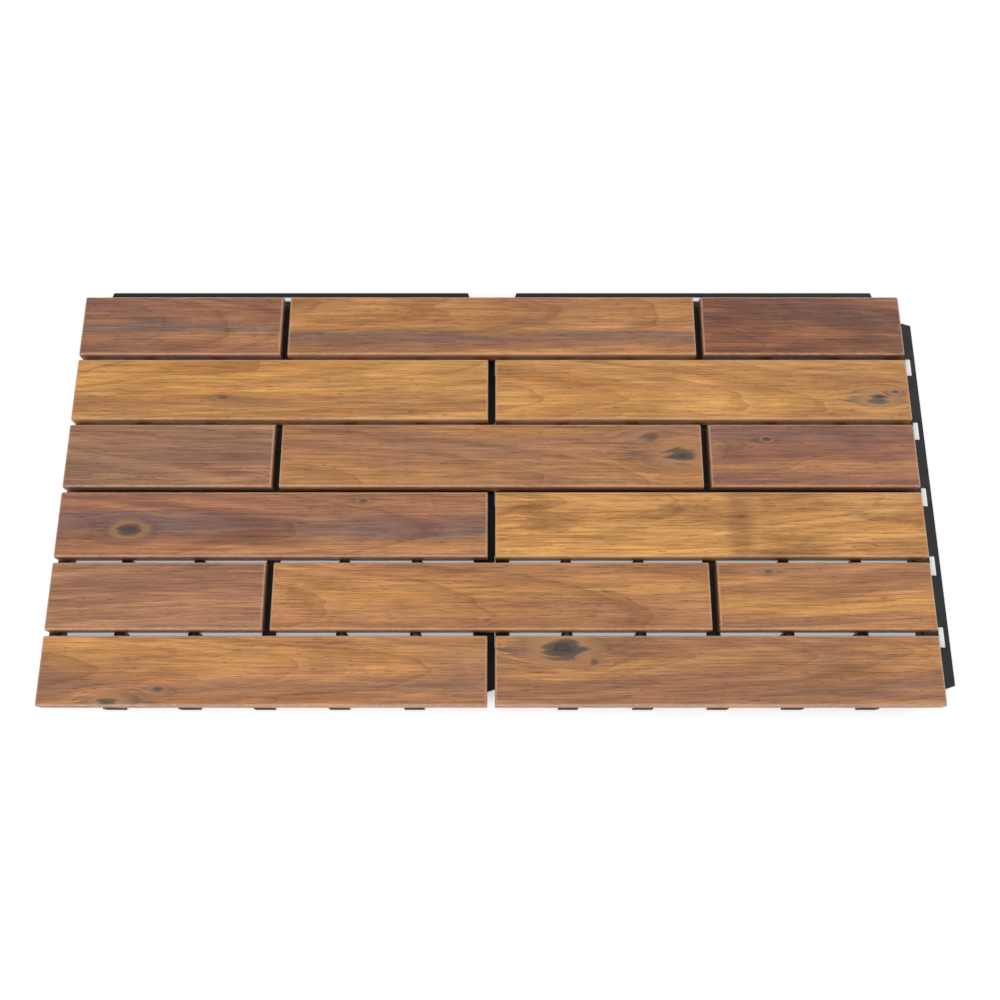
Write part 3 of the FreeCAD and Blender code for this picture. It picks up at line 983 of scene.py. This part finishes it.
def screw_points():
    """Rings of one screw from the middle of its head up to its tip, with the axis at zero.

    HEAD_RINGS has each ring's share of the radius, its height, and how much less of the
    corners is turned off, both in millimetres. The head's radius is the hexagon's, half its width over
    the cosine of the turn from the middle of a flat, but no more than the turned corner's. The
    thread's is the core plus a tooth that depends on the turn and the height together.
    """
    turn = np.linspace(0, 2 * math.pi, ROUND_STEPS, endpoint=False)[None, :]
    hexagon = HEAD_FLAT / np.cos((turn % (math.pi / 3)) - math.pi / 6)
    rings = []
    for share, up, more in HEAD_RINGS:
        limit = np.minimum(hexagon, HEAD_ROUND + more * MM)
        rings.append((share * limit, np.full_like(turn, up * MM - HEAD_HIGH)))
    rings.append((np.full_like(turn, THREAD_RADIUS), np.zeros_like(turn)))
    heights = np.arange(THREAD_START, SCREW_LONG - TIP_LONG, THREAD_PITCH / RINGS_PER_PITCH)
    climb = (heights[:, None] / THREAD_PITCH - turn / (2 * math.pi)) % 1
    tooth = np.clip(1 - np.abs(climb - 0.5) * TOOTH_SHARPNESS, 0, 1)
    radii = CORE_RADIUS + (THREAD_RADIUS - CORE_RADIUS) * tooth
    rings += [(radius[None, :], np.full_like(turn, up)) for radius, up in zip(radii, heights)]
    rings.append((np.full_like(turn, TIP_RADIUS), np.full_like(turn, SCREW_LONG)))
    radius = np.concatenate([ring[0] for ring in rings])
    up = np.concatenate([ring[1] for ring in rings])
    return np.stack([radius * np.cos(turn), radius * np.sin(turn), up], axis=-1)


one_screw = screw_points()
screw_faces = grid_faces(one_screw.shape[0], ROUND_STEPS)
print("one screw:", len(screw_faces), "faces")

# %% [markdown]
# The screws' places could be written down, but they are read from their node, so that they
# follow the CAD. They sit on a grid with the pitch of the rows, so the lowest points of the
# heads are sorted by the cell of that grid, one cell for each screw, and the middle of a head
# is halfway between its outermost points.

# %% Where the screws sit
LOWEST_BY = 0.1 * MM
CELL_MARGIN = 10 * MM


def screw_places(name):
    """Middles of the screws of a node, at the tops of their heads."""
    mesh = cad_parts[name].data
    spots = np.empty(len(mesh.vertices) * 3)
    mesh.vertices.foreach_get("co", spots)
    spots = spots.reshape(-1, 3)
    lowest = spots[spots[:, 2] < spots[:, 2].min() + LOWEST_BY]
    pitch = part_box("slat_2_left")[0][1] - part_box("slat_1_left")[0][1]
    cells = np.floor((lowest[:, :2] - lowest[:, :2].min(axis=0) + CELL_MARGIN) / pitch)
    _, group = np.unique(cells, axis=0, return_inverse=True)
    heads = [lowest[group.ravel() == number] for number in range(group.max() + 1)]
    middles = [(head.min(axis=0) + head.max(axis=0)) / 2 for head in heads]
    return np.array(middles) + [0, 0, HEAD_HIGH]


print("screws in each moulding:", [len(screw_places(name)) for name in SCREWS])

# %% [markdown]
# Outdoor screws are zinc plated: a grey metal, a little hazy, with a sheen that changes from
# spot to spot. One noise that drives both colour and roughness gives that haze. All the screws
# of a moulding are one mesh, a copy of the rings at each place, as they are one CAD node.

# %% Zinc, and the screws themselves
SCREW_SHARP = 30.0
zinc, tree, shader = new_material("zinc_plate")
place = node(tree, "ShaderNodeTexCoord").outputs["Object"]
haze = noise(tree, place, cells=(500, 500, 500), detail=4, rough=0.6)
feed(tree, shader, {
    "Base Color": mixed(tree, haze, linear("9FA3A6"), linear("C6C5BE")),
    "Roughness": stretch(tree, haze, 0.3, 0.7, 0.28, 0.46),
    "Metallic": 1.0,
})
for name in SCREWS:
    places = screw_places(name)
    rings = one_screw[None] + places[:, None, None, :]
    offsets = np.arange(len(places))[:, None, None] * one_screw.shape[0] * ROUND_STEPS
    faces = (screw_faces[None] + offsets).reshape(-1, 4)
    piece = surface(name.replace("screws", "fixings"), rings, faces, SCREW_SHARP)
    piece.data.materials.append(zinc)
    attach(piece, "root")
    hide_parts(name)
    print(name, len(places), "screws")

# %% [markdown]
# ## A white floor
#
# The tile lies on a white floor. More light would make the floor white, but the wood pale, so
# the floor's material adds a little light of its own that only the camera, reflections and
# clear things can see. It doesn't light the tile, apart from what its gloss reflects, and the
# soft shadow stays. From below the floor can be seen through, so that the underside can be
# looked at too.

# %% Floor
FLOOR_SIZE = 12
FLOOR_PAINT = (0.86, 0.86, 0.86, 1)
FLOOR_ROUGH = 0.9
FLOOR_GLOW = 0.4


def seen_directly(tree):
    """1 for rays from the camera, a reflection or something clear, and 0 for all others."""
    rays = node(tree, "ShaderNodeLightPath").outputs
    seen = sums(tree, "MAXIMUM", rays["Is Camera Ray"], rays["Is Glossy Ray"])
    return sums(tree, "MAXIMUM", seen, rays["Is Transmission Ray"])


bpy.ops.mesh.primitive_plane_add(size=FLOOR_SIZE)
floor = bpy.context.object
floor.name = "floor"
paper, tree, shader = new_material("white_floor")
feed(tree, shader, {"Base Color": FLOOR_PAINT, "Roughness": FLOOR_ROUGH})
strength = product(tree, seen_directly(tree), FLOOR_GLOW)
glow = node(tree, "ShaderNodeEmission", {"Strength": strength})
both = node(tree, "ShaderNodeAddShader", {0: shader.outputs[0], 1: glow.outputs[0]})
clear = node(tree, "ShaderNodeBsdfTransparent")
below = node(tree, "ShaderNodeNewGeometry").outputs["Backfacing"]
sheet = node(tree, "ShaderNodeMixShader", {0: below, 1: both.outputs[0], 2: clear.outputs[0]})
feed(tree, tree.nodes["Material Output"], {"Surface": sheet.outputs[0]})
floor.data.materials.append(paper)
floor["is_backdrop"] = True
print("floor:", FLOOR_SIZE, "metres wide")

# %% [markdown]
# ## Soft light
#
# A studio lights such a product with big soft boxes, so that gaps and edges have soft shadows.
# A bright sky picture would do it too, but its colours would tint the wood. Here a plain white
# world gives the even part of the light, and looks fully white only where it is seen. Two
# square lamps give the light a direction: a key from the near left and a weaker fill from the
# far right.

# %% World and lamps
WORLD_LIGHT = 0.6
WORLD_SEEN = 0.4
world = bpy.data.worlds.new("studio")
world.use_nodes = True
tree = world.node_tree
strength = sums(tree, "MULTIPLY_ADD", seen_directly(tree), WORLD_SEEN, WORLD_LIGHT)
feed(tree, tree.nodes["Background"], {"Color": (1, 1, 1, 1), "Strength": strength})
bpy.context.scene.world = world


def soft_box(name, place, size, power):
    """A square area light that faces the tile. Size is in metres and power in watts."""
    lamp = bpy.data.lights.new(name, "AREA")
    lamp.size = size
    lamp.energy = power
    box = bpy.data.objects.new(name, lamp)
    box.location = place
    box.rotation_euler = (-Vector(place)).to_track_quat("-Z", "Y").to_euler()
    bpy.context.scene.collection.objects.link(box)
    print(name, "lamp:", power, "watts")


soft_box("key", place=(-0.7, -1.1, 1.5), size=1.0, power=14)
soft_box("fill", place=(1.3, 0.6, 1.4), size=1.4, power=8)

# %% [markdown]
# ## Camera
#
# The camera looks down steeply from the near side, as somebody does who has just laid the
# tile. It could be placed by typing in its position and rotation, but an angle and a distance
# from the point it looks at are easier to match to a photograph, one at a time.

# %% Camera
LENS = 38.0
ELEVATION = math.radians(73.0)
DISTANCE = 0.735
AIM = Vector((0.0, -0.010, 0.012))
camera = bpy.data.objects.new("camera", bpy.data.cameras.new("camera"))
camera.data.lens = LENS
camera.location = AIM + DISTANCE * Vector((0, -math.cos(ELEVATION), math.sin(ELEVATION)))
camera.rotation_euler = (AIM - camera.location).to_track_quat("-Z", "Y").to_euler()
bpy.context.scene.collection.objects.link(camera)
bpy.context.scene.camera = camera
bpy.context.scene.view_settings.view_transform = "Standard"
print("camera at", [round(value, 3) for value in camera.location])

# %% [markdown]
# ## The tile's size
#
# Last, the box of the finished tile is written beside the box of the imported model. They have to
# agree, because the finish must not change the tile's size.

# %% Print both sizes
sizes = {"cad": CAD_BOX, "visual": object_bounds()}
for key, box in sizes.items():
    print(key, [round(value / MM, 2) for corner in box for value in corner])
